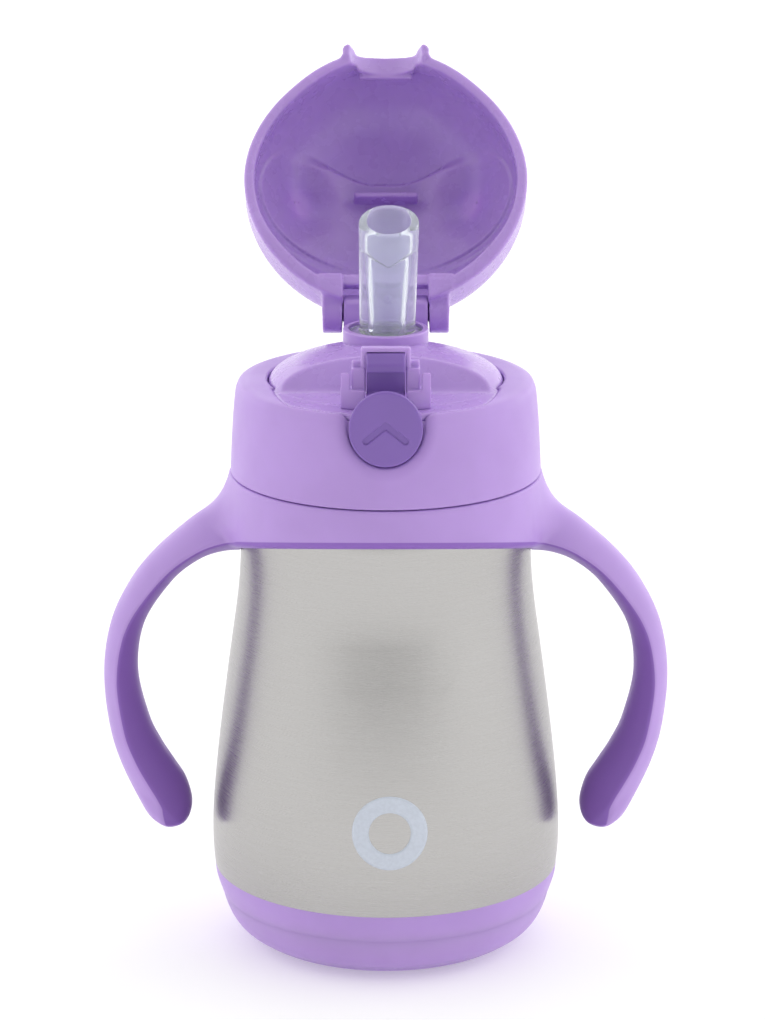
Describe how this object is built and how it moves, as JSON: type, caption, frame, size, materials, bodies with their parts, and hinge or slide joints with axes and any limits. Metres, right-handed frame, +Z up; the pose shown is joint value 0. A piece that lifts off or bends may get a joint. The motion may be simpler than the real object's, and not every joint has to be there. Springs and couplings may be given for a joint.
{
  "type": "sippy cup",
  "caption": "Insulated toddler straw cup with side handles, screw-on collar, flip lid, push-button latch and a soft folding mouthpiece.",
  "frame": {"origin": "centre of the flat base face the cup stands on", "axes": "+Z up through the mouth, -Y towards the push button at the front, +X to the right of someone facing the front"},
  "size_m": [0.1302, 0.1187, 0.1978],
  "materials": {
    "boot_lilac": "satin moulded",
    "ring_lilac": "satin moulded",
    "collar_lilac": "fine matte moulded",
    "dome_gloss": "polished",
    "lid_gloss": "polished inside, satin outside",
    "bracket_lilac": "satin moulded",
    "button_violet": "satin moulded",
    "pin_violet": "satin moulded",
    "steel_brushed": "fine round-the-body brushing",
    "steel_liner": "electropolished",
    "solder": "dull",
    "spring_steel": "drawn wire",
    "seal_silicone": "soft satin",
    "mouthpiece_silicone": "clear, glossy",
    "straw_clear": "translucent"
  },
  "bodies": {
    "bottle": {"base_boot": "boot_lilac", "outer_wall": "steel_brushed", "inner_flask": "steel_liner", "base_plate": "steel_liner", "vacuum_cap": "solder", "getter": "solder", "handle_ring": "ring_lilac"},
    "seal": {"lid_seal": "seal_silicone"},
    "collar": {"screw_collar": "collar_lilac", "lid_dome": "dome_gloss", "latch_bracket": "bracket_lilac", "spout_ring": "bracket_lilac", "hinge_pin": "pin_violet", "button_spring": "spring_steel", "vent_valve": "seal_silicone", "straw_tube": "straw_clear", "spout_base": "mouthpiece_silicone"},
    "flip_lid": {"flip_lid": "lid_gloss"},
    "button": {"latch_button": "button_violet"},
    "spout": {"spout_tip": "mouthpiece_silicone"}
  },
  "joints": [
    {"name": "collar_rise", "type": "slide", "parent": "bottle", "child": "seal", "axis": [0, 0, 1], "range_m": [0, 0.0051]},
    {"name": "collar_unscrew", "type": "hinge", "parent": "seal", "child": "collar", "pos_m": [0, 0, 0.12], "axis": [0, 0, 1], "range_deg": [0, 450]},
    {"name": "lid_close", "type": "hinge", "parent": "collar", "child": "flip_lid", "pos_m": [0, 0.033, 0.1404], "axis": [1, 0, 0], "range_deg": [0, 125]},
    {"name": "spout_fold", "type": "hinge", "parent": "collar", "child": "spout", "pos_m": [0, 0.0115, 0.1438], "axis": [1, 0, 0], "range_deg": [0, 73], "deforming": ["spout_tip"]},
    {"name": "button_press", "type": "slide", "parent": "collar", "child": "button", "axis": [0, 1, 0], "range_m": [0, 0.0013], "stiffness_N_per_m": 150, "springref_m": -0.004, "deforming": ["button_spring"]}
  ],
  "couplings": [
    {"joint": "collar_rise", "follows": "collar_unscrew", "m_per_rad": 0.00063662},
    {"joint": "spout_fold", "follows": "lid_close", "ratio": 0.576}
  ]
}
